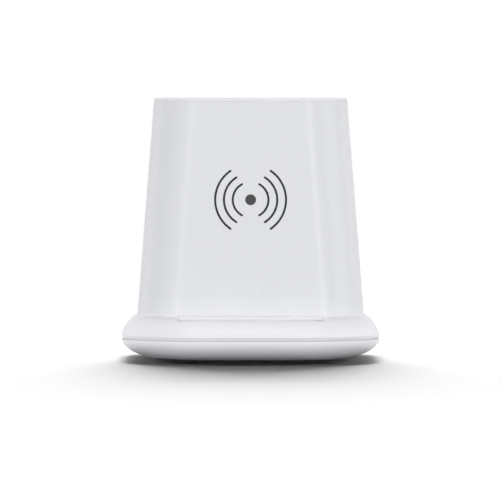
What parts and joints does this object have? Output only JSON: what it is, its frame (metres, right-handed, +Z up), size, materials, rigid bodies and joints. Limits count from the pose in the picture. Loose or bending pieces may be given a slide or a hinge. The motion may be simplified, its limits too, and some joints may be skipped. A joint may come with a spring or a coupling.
{
  "type": "desk pen holder with wireless phone charger",
  "caption": "Tapered pen cup on a low rounded base; a phone stands on the front ledge, leans on the front wall and charges there without a cable.",
  "frame": {"origin": "on the desk under the middle of the base, in the plane of the feet's lower faces", "axes": "+Z up; -Y towards the user, where the phone stands; +X to the user's right"},
  "size_m": [0.104, 0.104, 0.106],
  "materials": {
    "white_gloss_shell": "white ABS, moulded with a satin gloss",
    "white_cover": "white ABS, moulded with a satin gloss",
    "white_silicone": "matt white silicone",
    "grey_rubber": "dark grey rubber",
    "dark_ink": "dark grey pad-printed ink",
    "white_nylon": "natural nylon",
    "black_plastic": "black moulded plastic",
    "ferrite": "dark sintered ferrite",
    "copper_wire": "enamelled copper",
    "green_board": "green solder mask on glass-fibre board",
    "socket_steel": "nickel-plated stainless steel",
    "screw_steel": "zinc-plated steel",
    "ceramic": "tan ceramic",
    "clear_acrylic": "frosted clear acrylic"
  },
  "bodies": {
    "root": {"base_bottom_cover": "white_cover", "base_top_cover": "white_cover", "tower_shell": "white_gloss_shell", "pen_cup": "white_gloss_shell", "phone_rest_pad": "white_silicone", "rubber_foot_front_left": "grey_rubber", "rubber_foot_front_right": "grey_rubber", "rubber_foot_rear_left": "grey_rubber", "rubber_foot_rear_right": "grey_rubber", "cover_screw_front_left": "screw_steel", "cover_screw_front_right": "screw_steel", "cover_screw_rear_left": "screw_steel", "cover_screw_rear_right": "screw_steel", "cup_screw_front_left": "screw_steel", "cup_screw_front_right": "screw_steel", "cup_screw_rear_left": "screw_steel", "cup_screw_rear_right": "screw_steel", "coil_tray": "black_plastic", "ferrite_sheet": "ferrite", "tray_screw_lower_left": "screw_steel", "tray_screw_lower_right": "screw_steel", "tray_screw_upper_left": "screw_steel", "tray_screw_upper_right": "screw_steel", "symbol_dot": "dark_ink", "symbol_wave_left_inner": "dark_ink", "symbol_wave_right_inner": "dark_ink", "symbol_wave_left_middle": "dark_ink", "symbol_wave_right_middle": "dark_ink", "symbol_wave_left_outer": "dark_ink", "symbol_wave_right_outer": "dark_ink", "charging_coil": "copper_wire", "temperature_sensor": "black_plastic", "circuit_board": "green_board", "board_screw_front_left": "screw_steel", "board_screw_front_right": "screw_steel", "board_screw_rear_left": "screw_steel", "board_screw_rear_right": "screw_steel", "usb_socket": "socket_steel", "usb_contact_tongue": "black_plastic", "coil_connector": "white_nylon", "coil_plug": "white_nylon", "resonant_capacitor_1": "ceramic", "resonant_capacitor_2": "ceramic", "resonant_capacitor_3": "ceramic", "resonant_capacitor_4": "ceramic", "bridge_chip_left": "black_plastic", "bridge_chip_right": "black_plastic", "controller_chip": "black_plastic", "power_inductor": "ferrite", "filter_capacitor": "socket_steel", "status_led": "white_nylon", "status_light_pipe": "clear_acrylic"}
  },
  "joints": []
}
